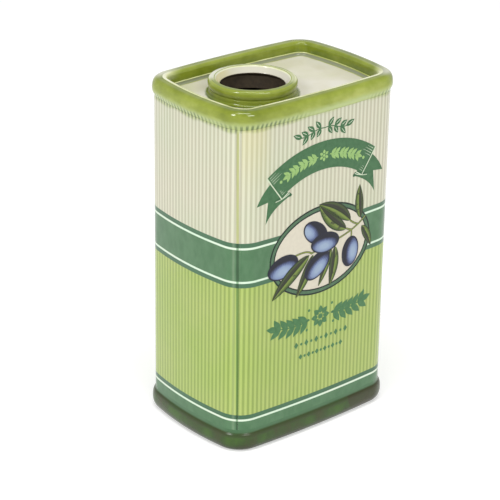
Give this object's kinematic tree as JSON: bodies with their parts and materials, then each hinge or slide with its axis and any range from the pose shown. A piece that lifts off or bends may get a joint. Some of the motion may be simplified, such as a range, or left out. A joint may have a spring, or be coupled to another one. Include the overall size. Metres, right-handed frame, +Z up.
{
  "type": "oil can",
  "caption": "Glazed ceramic oil can shaped like a rectangular tin, with a rolled rim, sunken deck, short open neck, moulded foot, striped walls and an olive medallion.",
  "frame": {"origin": "centre of the footprint, on the surface the can stands on", "axes": "+Z up, out of the neck; the printed front face looks along -Y and the back along +Y; the wide way is X, with the neck towards -X"},
  "size_m": [0.11, 0.0794, 0.18],
  "materials": {
    "cream_glaze": "gloss, off-white glaze on slip-cast ceramic",
    "foot_glaze": "gloss, dark olive glaze pooled round the foot, bare clay on the standing ring",
    "rim_glaze": "high gloss, translucent olive-green glaze that breaks to cream on edges",
    "wrap_print": "satin gloss, upright pinstripes and bands printed under a clear glaze",
    "green_print": "satin gloss, fired transfer print in mid green",
    "medallion_print": "satin gloss, fired transfer print, blue-black fruit and green leaves on cream"
  },
  "bodies": {
    "root": {"base_foot": "foot_glaze", "body_walls": "cream_glaze", "top_rim": "rim_glaze", "top_deck": "cream_glaze", "neck_collar": "rim_glaze", "wrap_transfer_front": "wrap_print", "wrap_transfer_back": "wrap_print", "garland_transfer_front": "green_print", "garland_transfer_back": "green_print", "ribbon_transfer_front": "green_print", "ribbon_transfer_back": "green_print", "medallion_transfer_front": "medallion_print", "medallion_transfer_back": "medallion_print", "scroll_transfer_front": "green_print", "scroll_transfer_back": "green_print", "rule_transfer_front": "green_print", "rule_transfer_back": "green_print"}
  },
  "joints": []
}
